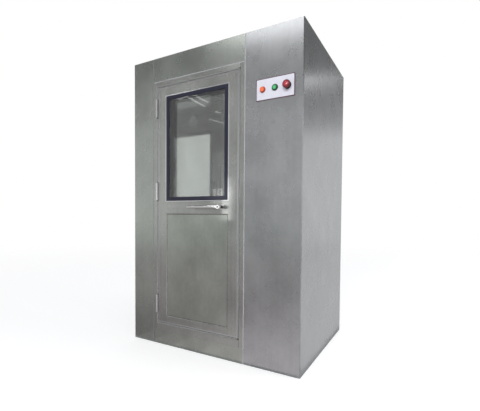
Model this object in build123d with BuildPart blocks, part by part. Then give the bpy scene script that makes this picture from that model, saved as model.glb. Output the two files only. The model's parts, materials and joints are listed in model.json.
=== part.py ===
"""A single-person cleanroom air shower: a stainless walk-through cabinet with a door at each end.

The origin is at the middle of the footprint, on the floor. +X runs to the right along the front,
+Y runs in through the front door and out through the rear one, and +Z is up. All sizes are millimetres.
"""

import os

from build123d import *

# Cabinet
overall_width = 1350.0
overall_depth = 1000.0
overall_height = 2100.0
left_box_width = 200.0
right_box_width = 383.0
header_height = 173.0
sill_height = 102.0
panel_thickness = 25.0
liner_thickness = 15.0
floor_plate_thickness = 3.0
corner_radius = 6.0
edge_radius = 4.0

# Door frame
jamb_face = 34.0
head_face = 33.0
threshold_face = 51.0
frame_proud = 2.0
frame_edge_radius = 3.0
stop_thickness = 12.0
stop_overlap = 10.0
door_gap = 8.0

# Door leaf
leaf_thickness = 50.0
stile_width = 80.0
top_rail = 75.0
middle_rail = 94.0
bottom_rail = 56.0
lower_opening_height = 750.0
infill_recess = 6.0
leaf_edge_radius = 3.0
edge_margin = 1.0

# Door seal, between the back of the leaf and the stop
seal_space = 8.0
seal_width = 8.0
seal_inset = 1.0
seal_clearance = 0.5

# Window
gasket_width = 27.0
gasket_proud = 1.5
gasket_depth = 10.0
pane_thickness = 5.0
pane_bite = 8.0
pane_behind_leaf_face = 1.0

# Hinges
hinge_length = 126.0
hinge_knuckles = 5
knuckle_radius = 7.0
knuckle_gap = 0.5
knuckle_relief = 0.5
hinge_standoff = 2.0
hinge_pin_radius = 3.5
hinge_pin_clearance = 0.05
hinge_plate_thickness = 2.0
hinge_plate_depth = 35.0
hinge_top_from_leaf_top = 152.0
hinge_middle_from_leaf_top = 756.0
hinge_bottom_from_leaf_bottom = 140.0

# Lever handles
hub_from_leaf_edge = 126.0
lever_reach = 255.0
lever_tail = 20.0
lever_standoff = 40.0
lever_bar_thickness = 13.0
lever_bar_height = 22.0
lever_tip_height = 17.0
lever_end_radius = 5.0
lever_end_flat = 2.0
neck_radius = 11.0
spindle_radius = 5.0
spindle_clearance = 0.5
handle_plate_width = 60.0
handle_plate_height = 28.0
handle_plate_thickness = 6.0
neck_clearance = 0.4

# Control plate
control_plate_width = 252.0
control_plate_height = 132.0
control_plate_layer = 1.5
control_plate_bevel = 4.5
control_plate_from_right = 178.0
control_plate_centre_height = 1727.0
control_spacing = 81.0

# Pilot lamp
lamp_bezel_radius = 18.5
lamp_bezel_height = 5.0
lamp_lens_radius = 16.0
lamp_lens_height = 14.0
lamp_lens_edge = 3.0

# Start button
start_bezel_radius = 21.0
start_bezel_height = 8.0
start_cap_radius = 14.5
start_cap_clearance = 0.4
start_cap_height = 11.0
start_cap_length = 7.0
start_cap_edge = 1.5

# Emergency stop button
stop_collar_radius = 22.5
stop_collar_height = 13.5
stop_stem_radius = 8.0
stop_stem_clearance = 0.4
stop_stem_start = 5.0
stop_head_gap = 6.0
stop_head_radius = 24.0
stop_head_height = 16.0
stop_head_edge = 7.0

# Places that follow from those sizes
left_face = -overall_width / 2
right_face = overall_width / 2
front_face = -overall_depth / 2
panel_back = front_face + panel_thickness
chamber_left = left_face + left_box_width
chamber_right = right_face - right_box_width
ceiling_level = overall_height - header_height
floor_level = sill_height
base_top = floor_level - floor_plate_thickness
roof_underside = overall_height - panel_thickness

door_face = front_face - frame_proud
leaf_back = door_face + leaf_thickness
stop_front = leaf_back + seal_space
frame_back = stop_front + stop_thickness
leaf_left = chamber_left + jamb_face + door_gap
leaf_right = chamber_right - jamb_face - door_gap
leaf_bottom = sill_height + threshold_face + door_gap
leaf_top = ceiling_level - head_face - door_gap
leaf_centre = (leaf_left + leaf_right) / 2
opening_left = leaf_left + stile_width
opening_right = leaf_right - stile_width
lower_opening_bottom = leaf_bottom + bottom_rail
lower_opening_top = lower_opening_bottom + lower_opening_height
window_bottom = lower_opening_top + middle_rail
window_top = leaf_top - top_rail

os.makedirs("parts", exist_ok=True)


def block(low, high, mode=Mode.ADD):
    """A box between two opposite corners."""
    size = [b - a for a, b in zip(low, high)]
    centre = [(a + b) / 2 for a, b in zip(low, high)]
    with Locations(tuple(centre)):
        return Box(*size, mode=mode)


def face_edges(builder, y):
    """The edges of the flat faces that lie in the plane at this y."""
    faces = builder.faces().filter_by(Plane.XZ).filter_by_position(Axis.Y, y, y, (True, True))
    return faces.edges()


def save(builder, name):
    builder.part.label = name
    export_step(builder.part, f"parts/{name}.step")


def save_both_ends(builder, front_name, rear_name):
    """Saves a piece of the front end, and its mirror image at the rear end."""
    save(builder, front_name)
    with BuildPart() as rear_piece:
        mirror(builder.part, about=Plane.XZ)
    save(rear_piece, rear_name)


# Base pan and floor plate, which the liners, frames and panels stand round
with BuildPart() as base_pan:
    block(
        (left_face + panel_thickness, panel_back, 0),
        (right_face - panel_thickness, -panel_back, base_top),
    )
save(base_pan, "base_pan")

with BuildPart() as floor_plate:
    block((chamber_left, panel_back, base_top), (chamber_right, -panel_back, floor_level))
save(floor_plate, "floor_plate")


# Narrow box on the left: a front and a rear panel that take the corners, a side panel and a liner
with BuildPart() as left_front_panel:
    block((left_face, front_face, 0), (chamber_left, panel_back, overall_height))
    corners = left_front_panel.edges().filter_by(Axis.Z).group_by(Axis.Y)[0].sort_by(Axis.X)
    fillet(corners[0], corner_radius)
    fillet(left_front_panel.edges().filter_by(Axis.Z).group_by(Axis.Y)[0].sort_by(Axis.X)[-1], edge_radius)
save_both_ends(left_front_panel, "left_front_panel", "left_rear_panel")

with BuildPart() as left_side_panel:
    block((left_face, panel_back, 0), (left_face + panel_thickness, -panel_back, overall_height))
save(left_side_panel, "left_side_panel")

with BuildPart() as left_inner_wall:
    block(
        (chamber_left - liner_thickness, panel_back, base_top),
        (chamber_left, -panel_back, roof_underside),
    )
save(left_inner_wall, "left_inner_wall")


# Wide box on the right, which carries the controls on its front panel
with BuildPart() as right_front_panel:
    block((chamber_right, front_face, 0), (right_face, panel_back, overall_height))
    corners = right_front_panel.edges().filter_by(Axis.Z).group_by(Axis.Y)[0].sort_by(Axis.X)
    fillet(corners[-1], corner_radius)
    fillet(right_front_panel.edges().filter_by(Axis.Z).group_by(Axis.Y)[0].sort_by(Axis.X)[0], edge_radius)
save_both_ends(right_front_panel, "right_front_panel", "right_rear_panel")

with BuildPart() as right_side_panel:
    block((right_face - panel_thickness, panel_back, 0), (right_face, -panel_back, overall_height))
save(right_side_panel, "right_side_panel")

with BuildPart() as right_inner_wall:
    block(
        (chamber_right, panel_back, base_top),
        (chamber_right + liner_thickness, -panel_back, roof_underside),
    )
save(right_inner_wall, "right_inner_wall")


# Roof, ceiling, and the panels over and under each door
with BuildPart() as roof_panel:
    block(
        (left_face + panel_thickness, panel_back, roof_underside),
        (right_face - panel_thickness, -panel_back, overall_height),
    )
save(roof_panel, "roof_panel")

with BuildPart() as ceiling_panel:
    block(
        (chamber_left, panel_back, ceiling_level),
        (chamber_right, -panel_back, ceiling_level + liner_thickness),
    )
save(ceiling_panel, "ceiling_panel")

with BuildPart() as front_header:
    block((chamber_left, front_face, ceiling_level), (chamber_right, panel_back, overall_height))
    fillet(face_edges(front_header, front_face).filter_by(Axis.Z), edge_radius)
save_both_ends(front_header, "front_header", "rear_header")

with BuildPart() as front_sill:
    block((chamber_left, front_face, 0), (chamber_right, panel_back, sill_height))
    fillet(face_edges(front_sill, front_face).filter_by(Axis.Z), edge_radius)
save_both_ends(front_sill, "front_sill", "rear_sill")


# Door frame: two jambs, with a head and a threshold between them, each stepped so that the leaf
# closes against a stop
rebate_left = leaf_left - door_gap
rebate_right = leaf_right + door_gap
rebate_bottom = leaf_bottom - door_gap
rebate_top = leaf_top + door_gap

with BuildPart() as front_door_jambs:
    block((chamber_left, door_face, sill_height), (rebate_left, frame_back, ceiling_level))
    block((rebate_right, door_face, sill_height), (chamber_right, frame_back, ceiling_level))
    fillet(face_edges(front_door_jambs, door_face).filter_by(Axis.Z), frame_edge_radius)
    block((rebate_left, stop_front, rebate_bottom), (leaf_left + stop_overlap, frame_back, rebate_top))
    block((leaf_right - stop_overlap, stop_front, rebate_bottom), (rebate_right, frame_back, rebate_top))
save_both_ends(front_door_jambs, "front_door_jambs", "rear_door_jambs")

with BuildPart() as front_door_head_and_threshold:
    block((rebate_left, door_face, sill_height), (rebate_right, frame_back, rebate_bottom))
    block((rebate_left, door_face, rebate_top), (rebate_right, frame_back, ceiling_level))
    fillet(face_edges(front_door_head_and_threshold, door_face).filter_by(Axis.X), frame_edge_radius)
    block(
        (leaf_left + stop_overlap, stop_front, rebate_bottom),
        (leaf_right - stop_overlap, frame_back, leaf_bottom + stop_overlap),
    )
    block(
        (leaf_left + stop_overlap, stop_front, leaf_top - stop_overlap),
        (leaf_right - stop_overlap, frame_back, rebate_top),
    )
save_both_ends(
    front_door_head_and_threshold, "front_door_head_and_threshold", "rear_door_head_and_threshold"
)


# Door leaf: two stiles and three rails, welded, with a hole for the spindle
hub_x = leaf_right - hub_from_leaf_edge
hub_z = lower_opening_top + middle_rail / 2
lever_plane = Plane(origin=(hub_x, door_face, hub_z), x_dir=(1, 0, 0), z_dir=(0, -1, 0))

with BuildPart() as front_door_leaf:
    block((leaf_left, door_face, leaf_bottom), (leaf_right, leaf_back, leaf_top))
    block(
        (opening_left, door_face, lower_opening_bottom),
        (opening_right, leaf_back, lower_opening_top),
        mode=Mode.SUBTRACT,
    )
    block(
        (opening_left, door_face, window_bottom),
        (opening_right, leaf_back, window_top),
        mode=Mode.SUBTRACT,
    )
    outline = face_edges(front_door_leaf, door_face).filter_by(
        lambda e: not (opening_left - edge_margin < e.center().X < opening_right + edge_margin
                       and window_bottom - edge_margin < e.center().Z < window_top + edge_margin)
    )
    fillet(outline, leaf_edge_radius)
    with BuildSketch(lever_plane):
        Circle(spindle_radius + spindle_clearance)
    extrude(amount=-leaf_thickness, mode=Mode.SUBTRACT)
save_both_ends(front_door_leaf, "front_door_leaf", "rear_door_leaf")

with BuildPart() as front_lower_panel:
    block(
        (opening_left, door_face + infill_recess, lower_opening_bottom),
        (opening_right, leaf_back - infill_recess, lower_opening_top),
    )
save_both_ends(front_lower_panel, "front_lower_panel", "rear_lower_panel")


# Seal: a rubber ring on the back of the leaf
with BuildPart() as front_door_seal:
    with BuildSketch(Plane.XZ.offset(-leaf_back)):
        with Locations((leaf_centre, (leaf_bottom + leaf_top) / 2)):
            Rectangle(leaf_right - leaf_left - 2 * seal_inset, leaf_top - leaf_bottom - 2 * seal_inset)
            Rectangle(
                leaf_right - leaf_left - 2 * (seal_inset + seal_width),
                leaf_top - leaf_bottom - 2 * (seal_inset + seal_width),
                mode=Mode.SUBTRACT,
            )
    extrude(amount=-(seal_space - seal_clearance))
save_both_ends(front_door_seal, "front_door_seal", "rear_door_seal")


# Window: a pane near each face of the leaf, each held in a rubber ring
leaf_middle = (door_face + leaf_back) / 2
pane_front = door_face + pane_behind_leaf_face

with BuildPart() as front_window_panes:
    block(
        (opening_left + gasket_width - pane_bite, pane_front, window_bottom + gasket_width - pane_bite),
        (opening_right - gasket_width + pane_bite, pane_front + pane_thickness,
         window_top - gasket_width + pane_bite),
    )
    mirror(about=Plane.XZ.offset(-leaf_middle))
save_both_ends(front_window_panes, "front_window_panes", "rear_window_panes")

with BuildPart() as front_window_gaskets:
    block(
        (opening_left, door_face - gasket_proud, window_bottom),
        (opening_right, door_face - gasket_proud + gasket_depth, window_top),
    )
    block(
        (opening_left + gasket_width, door_face - gasket_proud, window_bottom + gasket_width),
        (opening_right - gasket_width, door_face - gasket_proud + gasket_depth, window_top - gasket_width),
        mode=Mode.SUBTRACT,
    )
    block(
        (opening_left + gasket_width - pane_bite, pane_front, window_bottom + gasket_width - pane_bite),
        (opening_right - gasket_width + pane_bite, pane_front + pane_thickness,
         window_top - gasket_width + pane_bite),
        mode=Mode.SUBTRACT,
    )
    mirror(about=Plane.XZ.offset(-leaf_middle))
save_both_ends(front_window_gaskets, "front_window_gaskets", "rear_window_gaskets")


# Hinges: three butt hinges with their barrels in front of the door, and their plates in the gap
hinge_x = leaf_left - door_gap / 2
hinge_y = door_face - knuckle_radius - hinge_standoff
hinge_heights = (
    leaf_top - hinge_top_from_leaf_top,
    leaf_top - hinge_middle_from_leaf_top,
    leaf_bottom + hinge_bottom_from_leaf_bottom,
)
knuckle_pitch = (hinge_length + knuckle_gap) / hinge_knuckles
knuckle_length = knuckle_pitch - knuckle_gap


def knuckles(own, radius, length, mode):
    """Cylinders on the hinge axis at the knuckles with these numbers, counted from the bottom."""
    for height in hinge_heights:
        for number in own:
            middle = height - hinge_length / 2 + knuckle_length / 2 + number * knuckle_pitch
            with Locations((hinge_x, hinge_y, middle)):
                Cylinder(radius, length, mode=mode)


frame_knuckles = range(0, hinge_knuckles, 2)
door_knuckles = range(1, hinge_knuckles, 2)

with BuildPart() as front_hinges_on_frame:
    for height in hinge_heights:
        block(
            (leaf_left - door_gap, hinge_y, height - hinge_length / 2),
            (leaf_left - door_gap + hinge_plate_thickness, door_face + hinge_plate_depth,
             height + hinge_length / 2),
        )
    knuckles(door_knuckles, knuckle_radius + knuckle_relief, knuckle_length + 2 * knuckle_gap, Mode.SUBTRACT)
    knuckles(frame_knuckles, knuckle_radius, knuckle_length, Mode.ADD)
    for height in hinge_heights:
        with Locations((hinge_x, hinge_y, height)):
            Cylinder(hinge_pin_radius, hinge_length)
save_both_ends(front_hinges_on_frame, "front_hinges_on_frame", "rear_hinges_on_frame")

with BuildPart() as front_hinges_on_door:
    for height in hinge_heights:
        block(
            (leaf_left - hinge_plate_thickness, hinge_y, height - hinge_length / 2),
            (leaf_left, door_face + hinge_plate_depth, height + hinge_length / 2),
        )
    knuckles(frame_knuckles, knuckle_radius + knuckle_relief, knuckle_length + 2 * knuckle_gap, Mode.SUBTRACT)
    knuckles(door_knuckles, knuckle_radius, knuckle_length, Mode.ADD)
    knuckles(
        door_knuckles, hinge_pin_radius + hinge_pin_clearance, knuckle_length + 2 * knuckle_gap, Mode.SUBTRACT
    )
save_both_ends(front_hinges_on_door, "front_hinges_on_door", "rear_hinges_on_door")


# Handle: a backplate and a long lever on each side of the leaf, on one spindle
with BuildPart() as front_handle_plates:
    with BuildSketch(lever_plane):
        SlotOverall(handle_plate_width, handle_plate_height)
        Circle(neck_radius + neck_clearance, mode=Mode.SUBTRACT)
    extrude(amount=handle_plate_thickness)
    mirror(about=Plane.XZ.offset(-leaf_middle))
save_both_ends(front_handle_plates, "front_handle_plates", "rear_handle_plates")

with BuildPart() as front_lever:
    with BuildSketch(lever_plane):
        Circle(neck_radius)
    extrude(amount=lever_standoff + lever_bar_thickness / 2)
    with BuildSketch(lever_plane.offset(lever_standoff)):
        with BuildLine():
            Polyline(
                (lever_tail, -lever_bar_height / 2),
                (lever_tail, lever_bar_height / 2),
                (0, lever_bar_height / 2),
                (-lever_reach, lever_tip_height / 2),
                (-lever_reach, -lever_tip_height / 2),
                (0, -lever_bar_height / 2),
                close=True,
            )
        make_face()
        fillet(vertices().group_by(Axis.X)[0], (lever_tip_height - lever_end_flat) / 2)
        fillet(vertices().group_by(Axis.X)[-1], (lever_bar_height - lever_end_flat) / 2)
    extrude(amount=lever_bar_thickness)
    fillet(faces().sort_by(Axis.Y)[0].edges(), lever_end_radius)
    mirror(about=Plane.XZ.offset(-leaf_middle))
    with BuildSketch(lever_plane):
        Circle(spindle_radius)
    extrude(amount=-leaf_thickness)
save_both_ends(front_lever, "front_lever", "rear_lever")


# Control plate: white over dark red laminate with a bevelled edge
plate_x = right_face - control_plate_from_right
plate_front = front_face - 2 * control_plate_layer
control_plane = Plane(
    origin=(plate_x, front_face, control_plate_centre_height), x_dir=(1, 0, 0), z_dir=(0, -1, 0)
)

with BuildPart() as control_plate:
    with BuildSketch(control_plane):
        Rectangle(control_plate_width, control_plate_height)
    extrude(amount=control_plate_layer)
    with BuildSketch(control_plane.offset(control_plate_layer)):
        Rectangle(
            control_plate_width - 2 * control_plate_bevel, control_plate_height - 2 * control_plate_bevel
        )
    extrude(amount=control_plate_layer)
save(control_plate, "control_plate")


def control_place(number):
    """A plane on the front of the control plate, at the control with this number: -1, 0 or 1."""
    return Plane(
        origin=(plate_x + number * control_spacing, plate_front, control_plate_centre_height),
        x_dir=(1, 0, 0),
        z_dir=(0, -1, 0),
    )


with BuildPart() as pilot_lamp:
    with BuildSketch(control_place(-1)):
        Circle(lamp_bezel_radius)
    extrude(amount=lamp_bezel_height)
    with BuildSketch(control_place(-1).offset(lamp_bezel_height)):
        Circle(lamp_lens_radius)
    extrude(amount=lamp_lens_height - lamp_bezel_height)
    fillet(faces().sort_by(Axis.Y)[0].edges(), lamp_lens_edge)
save(pilot_lamp, "pilot_lamp")

with BuildPart() as start_button_bezel:
    with BuildSketch(control_place(0)):
        Circle(start_bezel_radius)
        Circle(start_cap_radius + start_cap_clearance, mode=Mode.SUBTRACT)
    extrude(amount=start_bezel_height)
save(start_button_bezel, "start_button_bezel")

with BuildPart() as start_button:
    with BuildSketch(control_place(0).offset(start_cap_height - start_cap_length)):
        Circle(start_cap_radius)
    extrude(amount=start_cap_length)
    fillet(faces().sort_by(Axis.Y)[0].edges(), start_cap_edge)
save(start_button, "start_button")

with BuildPart() as stop_button_collar:
    with BuildSketch(control_place(1)):
        Circle(stop_collar_radius)
        Circle(stop_stem_radius + stop_stem_clearance, mode=Mode.SUBTRACT)
    extrude(amount=stop_collar_height)
save(stop_button_collar, "stop_button_collar")

stop_head_start = stop_collar_height + stop_head_gap
with BuildPart() as stop_button:
    with BuildSketch(control_place(1).offset(stop_stem_start)):
        Circle(stop_stem_radius)
    extrude(amount=stop_head_start - stop_stem_start)
    with BuildSketch(control_place(1).offset(stop_head_start)):
        Circle(stop_head_radius)
    extrude(amount=stop_head_height)
    fillet(faces().sort_by(Axis.Y)[0].edges(), stop_head_edge)
save(stop_button, "stop_button")
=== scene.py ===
"""The looks of a single-person cleanroom air shower, built round its packed construction.

Everything is in metres, in the construction's own frame: +X to the right along the front, +Y in
through the front door and out through the rear one, +Z up, with the origin on the floor.
"""

import json
import math

import bmesh
import bpy
from mathutils import Matrix, Vector

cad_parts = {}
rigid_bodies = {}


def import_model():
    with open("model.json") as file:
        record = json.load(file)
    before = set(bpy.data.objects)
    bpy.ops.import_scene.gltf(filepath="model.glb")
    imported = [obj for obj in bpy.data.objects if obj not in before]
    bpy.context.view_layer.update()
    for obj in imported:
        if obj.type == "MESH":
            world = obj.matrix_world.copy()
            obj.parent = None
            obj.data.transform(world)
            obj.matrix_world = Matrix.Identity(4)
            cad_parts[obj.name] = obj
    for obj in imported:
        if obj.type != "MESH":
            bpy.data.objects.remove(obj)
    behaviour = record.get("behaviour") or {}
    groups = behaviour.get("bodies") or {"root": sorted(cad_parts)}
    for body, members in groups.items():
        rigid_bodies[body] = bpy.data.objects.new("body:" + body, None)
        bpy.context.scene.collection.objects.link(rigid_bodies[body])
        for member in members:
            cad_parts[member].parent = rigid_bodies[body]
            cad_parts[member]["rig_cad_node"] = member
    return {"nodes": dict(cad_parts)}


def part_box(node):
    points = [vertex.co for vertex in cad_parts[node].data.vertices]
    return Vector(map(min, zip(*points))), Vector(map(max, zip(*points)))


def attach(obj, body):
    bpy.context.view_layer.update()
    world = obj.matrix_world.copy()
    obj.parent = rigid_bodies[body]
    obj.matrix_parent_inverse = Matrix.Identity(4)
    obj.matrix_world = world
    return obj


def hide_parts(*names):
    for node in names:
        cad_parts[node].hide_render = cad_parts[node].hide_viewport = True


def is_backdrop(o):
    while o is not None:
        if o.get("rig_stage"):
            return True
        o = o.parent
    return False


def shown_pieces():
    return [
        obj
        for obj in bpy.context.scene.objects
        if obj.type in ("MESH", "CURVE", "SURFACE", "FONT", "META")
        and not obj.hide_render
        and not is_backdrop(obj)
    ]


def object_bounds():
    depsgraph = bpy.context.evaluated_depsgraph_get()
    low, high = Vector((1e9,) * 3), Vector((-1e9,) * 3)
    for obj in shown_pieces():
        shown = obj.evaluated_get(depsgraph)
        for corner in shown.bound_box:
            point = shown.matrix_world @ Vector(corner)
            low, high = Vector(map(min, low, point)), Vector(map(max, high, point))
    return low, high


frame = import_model()
built_low, built_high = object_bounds()
scene = bpy.context.scene
scene.view_settings.view_transform = "Standard"

# The viewpoint: a person standing off the right-hand corner, at chest height, with a wide lens.
# It was fitted to the six outer corners of the cabinet that show.
camera_place = Vector((1.322, -2.384, 0.967))
camera_heading = math.radians(-29.35)
camera_pitch = math.radians(-1.81)
camera_roll = math.radians(0.43)
camera_sensor = 36.0
camera_lens = 25.32
camera_rise = 0.0406

camera = bpy.data.objects.new("camera", bpy.data.cameras.new("camera"))
camera.data.sensor_width = camera_sensor
camera.data.lens = camera_lens
camera.data.shift_y = camera_rise
camera.matrix_world = (
    Matrix.Translation(camera_place)
    @ Matrix.Rotation(-camera_heading, 4, "Z")
    @ Matrix.Rotation(math.pi / 2 + camera_pitch, 4, "X")
    @ Matrix.Rotation(camera_roll, 4, "Z")
)
scene.collection.objects.link(camera)
scene.camera = camera


# The surroundings: a white world, a pale floor, and grey screens that only reflections see, hung
# where the walls, lamps and ceiling of a workshop would be. They give the steel something to mirror.
def node(tree, kind, values=None, **settings):
    """A new node, with its settings and the values of its inputs."""
    made = tree.nodes.new(kind)
    for setting, value in settings.items():
        setattr(made, setting, value)
    for socket, value in (values or {}).items():
        made.inputs[socket].default_value = value
    return made


def linked(tree, *pairs):
    """Joins sockets two by two: an output, then the input that it feeds."""
    for source, target in pairs:
        tree.links.new(source, target)


def new_material(name):
    """A material with an empty tree, and its output."""
    material = bpy.data.materials.new(name)
    material.use_nodes = True
    tree = material.node_tree
    tree.nodes.clear()
    return material, tree, node(tree, "ShaderNodeOutputMaterial")


def object_coordinates(tree):
    """Places in an object's own frame."""
    return node(tree, "ShaderNodeTexCoord").outputs["Object"]


world = bpy.data.worlds.new("white_room")
scene.world = world
world.use_nodes = True
tree = world.node_tree
tree.nodes.clear()
output = node(tree, "ShaderNodeOutputWorld")
seen = node(tree, "ShaderNodeBackground", {"Color": (1, 1, 1, 1), "Strength": 1.0})
lighting = node(tree, "ShaderNodeBackground", {"Color": (0.95, 0.97, 1.0, 1), "Strength": 0.62})
choose = node(tree, "ShaderNodeMixShader")
path = node(tree, "ShaderNodeLightPath")
either = node(tree, "ShaderNodeMath", operation="MAXIMUM")
any_of_three = node(tree, "ShaderNodeMath", operation="MAXIMUM")
linked(
    tree,
    (path.outputs["Is Camera Ray"], either.inputs[0]),
    (path.outputs["Is Glossy Ray"], either.inputs[1]),
    (either.outputs[0], any_of_three.inputs[0]),
    (path.outputs["Is Transmission Ray"], any_of_three.inputs[1]),
    (any_of_three.outputs[0], choose.inputs["Fac"]),
    (lighting.outputs[0], choose.inputs[1]),
    (seen.outputs[0], choose.inputs[2]),
    (choose.outputs[0], output.inputs["Surface"]),
)


def glow_along(name, axis, stops, tint=(1, 1, 1)):
    """A glow whose strength changes along one axis, between (place, strength) stops in order."""
    material, tree, output = new_material(name)
    first, last = stops[0][0], stops[-1][0]
    split = node(tree, "ShaderNodeSeparateXYZ")
    span = node(tree, "ShaderNodeMapRange", {"From Min": first, "From Max": last})
    ramp = node(tree, "ShaderNodeValToRGB")
    glow = node(tree, "ShaderNodeEmission")
    elements = ramp.color_ramp.elements
    while len(elements) < len(stops):
        elements.new(0.5)
    for element, (place, strength) in zip(elements, stops):
        element.position = (place - first) / (last - first)
        element.color = (*(strength * part for part in tint), 1)
    linked(
        tree,
        (object_coordinates(tree), split.inputs[0]),
        (split.outputs[axis], span.inputs["Value"]),
        (span.outputs[0], ramp.inputs["Fac"]),
        (ramp.outputs["Color"], glow.inputs["Color"]),
        (glow.outputs[0], output.inputs["Surface"]),
    )
    return material


def flat_card(name, corners, material):
    """A flat card from its corners, marked as surroundings."""
    mesh = bpy.data.meshes.new(name)
    mesh.from_pydata(corners, [], [tuple(range(len(corners)))])
    mesh.materials.append(material)
    card = bpy.data.objects.new(name, mesh)
    scene.collection.objects.link(card)
    card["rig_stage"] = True
    return card


def screen(name, corners, glow):
    """A card that only reflections see."""
    card = flat_card(name, corners, glow)
    for kind in ("camera", "diffuse", "transmission", "shadow", "volume_scatter"):
        setattr(card, f"visible_{kind}", False)


def level_screen(name, x_range, y_range, z, axis, stops, tint=(1, 1, 1)):
    """A level screen whose glow changes along one axis."""
    (x0, x1), (y0, y1) = x_range, y_range
    corners = [(x0, y0, z), (x1, y0, z), (x1, y1, z), (x0, y1, z)]
    screen(name, corners, glow_along(name, axis, stops, tint))


def upright_screen(name, x_range, y, z_range, axis, stops, tint=(1, 1, 1)):
    """An upright screen, square to y, whose glow changes along one axis."""
    (x0, x1), (z0, z1) = x_range, z_range
    corners = [(x0, y, z0), (x1, y, z0), (x1, y, z1), (x0, y, z1)]
    screen(name, corners, glow_along(name, axis, stops, tint))


# Overhead: the ceiling, and a beam and a lamp that the right-hand side mirrors.
ceiling_height = 3.2
level_screen(
    "ceiling_screen", (-9, 5), (-6, 6.2), ceiling_height, "Y",
    [(-5.5, 0.66), (-3.4, 0.52), (-2.1, 0.22), (2.6, 0.25), (4.4, 0.40), (6.2, 0.58)],
)
level_screen("side_beam", (-1, 2.75), (6.2, 7.6), ceiling_height, "Y", [(6.2, 0.56), (7.6, 0.74)])
side_light_height = 3.19
side_light_corners = ((1.80, 3.08), (2.05, 2.80), (2.7, 2.80), (2.7, 3.36))
screen(
    "side_light", [(x, y, side_light_height) for x, y in side_light_corners],
    glow_along("side_light", "X", [(1.80, 2.2), (2.0, 2.8), (2.7, 3.2)]),
)

# Upright: the wall behind the viewer with its foot, and the wall that the side mirrors.
wall_range = (-10, 2.2)
foot_height = 0.95
upright_screen("wall_screen", wall_range, -6, (0, ceiling_height), "X", [
    (-10, 0.85), (-5.0, 0.80), (-3.3, 0.60), (-2.4, 0.28), (-1.9, 0.50), (-1.3, 0.98), (2.2, 0.90),
])
upright_screen("wall_foot_screen", wall_range, -5.9, (0, foot_height), "X", [
    (-10, 0.92), (-5.0, 0.88), (-3.6, 0.48), (-2.4, 0.36), (-1.4, 0.60), (2.2, 0.8),
], (0.97, 1.0, 0.97))
upright_screen("back_screen", (-1, 12), 9, (0, 6), "X", [(-1, 0.80), (2.7, 0.83), (3.9, 0.96), (12, 1.0)])

# The long lamp that the front header mirrors.
strip_height = 3.15
level_screen(
    "strip_screen", (-1.15, 0.75), (-2.42, -1.95), strip_height, "X", [(-1.15, 1.0), (-0.5, 3.9), (0.75, 4.6)]
)

# Underfoot: the floor as the side and the front mirror it, paler towards the blower box.
floor_screen_height = 0.004
level_screen(
    "side_floor", (0.70, 9.0), (-0.4, 9.0), floor_screen_height, "Y",
    [(-0.4, 0.80), (1.2, 0.84), (9.0, 0.80)],
)
front_floor_end = -0.52
left_stops = ((-6.0, 0.55), (-3.0, 0.47), (-1.4, 0.42), (front_floor_end, 0.29))
right_stops = ((-6.0, 0.44), (-3.0, 0.45), (-1.9, 0.63), (front_floor_end, 0.77))
floor_splits = (-8.0, -0.66, -0.50, -0.30, -0.05, 0.25, 0.68)
for i, (x0, x1) in enumerate(zip(floor_splits, floor_splits[1:])):
    share = i / (len(floor_splits) - 2)
    near = (1 - share) * left_stops[3][1] + share * right_stops[3][1]
    stops = [
        (left[0] + (right[0] - left[0]) * share, left[1] + (right[1] - left[1]) * max(0, 2 * share - 1))
        for left, right in zip(left_stops[:3], right_stops[:3])
    ] + [(front_floor_end, near)]
    level_screen(
        f"front_floor_{i}", (x0, x1), (-6.0, front_floor_end), floor_screen_height, "Y", stops,
        (1.0, 0.945, 0.95),
    )

# The lamps that the window mirrors: x and y of one end, of the other end, and the width.
overhead_lights = (
    (-2.56, -3.30, -2.62, -4.21, 0.055),
    (-2.40, -3.28, -2.44, -4.02, 0.055),
    (-2.64, -4.57, -2.55, -4.69, 0.10),
    (-3.05, -4.94, -2.97, -5.45, 0.080),
    (-2.50, -3.45, -2.85, -3.60, 0.14),
)
overhead_height = 3.1
overhead_step = 0.002
overhead_glow = glow_along("overhead_glow", "Y", [(-5.5, 2.6), (-4.5, 4.2), (-3.3, 4.2)])
for i, (x0, y0, x1, y1, width) in enumerate(overhead_lights):
    across = Vector((y0 - y1, x1 - x0, 0)).normalized() * width / 2
    height = overhead_height + overhead_step * i
    start = Vector((x0, y0, height))
    stop = Vector((x1, y1, height))
    corners = [start - across, stop - across, stop + across, start + across]
    screen(f"overhead_light_{i}", corners, overhead_glow)

# Close by: the glare on the lever's boss and the closing jamb, and a patch low in the window.
near_card_y = -0.66
upright_screen(
    "near_card", (0.03, 0.105), near_card_y, (0.925, 1.225), "Z", [(0.925, 1.6), (1.10, 1.9), (1.21, 1.2)]
)
upright_screen("pane_card", (-0.06, 0.03), near_card_y, (1.08, 1.15), "X", [
    (-0.06, 1.5), (-0.035, 5.0), (-0.022, 2.0), (-0.004, 6.5), (0.006, 2.5), (0.018, 7.0), (0.03, 5.0),
])


def turns(angle, steps):
    """The angles from nothing to a given one, in even steps."""
    return [angle * step / steps for step in range(steps + 1)]


# A round lamp, which the window shows as a pale oval.
round_lamp_centre = Vector((-3.52, -4.97, 3.09))
round_lamp_half_width = Vector((0.08, -0.045, 0))
round_lamp_half_length = Vector((-0.34, -0.45, 0))
round_lamp_edge = [
    round_lamp_centre + round_lamp_half_width * math.cos(a) + round_lamp_half_length * math.sin(a)
    for a in turns(math.tau, 24)[:-1]
]
round_lamp_glow = glow_along("round_overhead_glow", "Y", [(-5.5, 0.9), (-4.5, 1.5)])
screen("round_overhead_lamp", round_lamp_edge, round_lamp_glow)

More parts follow.
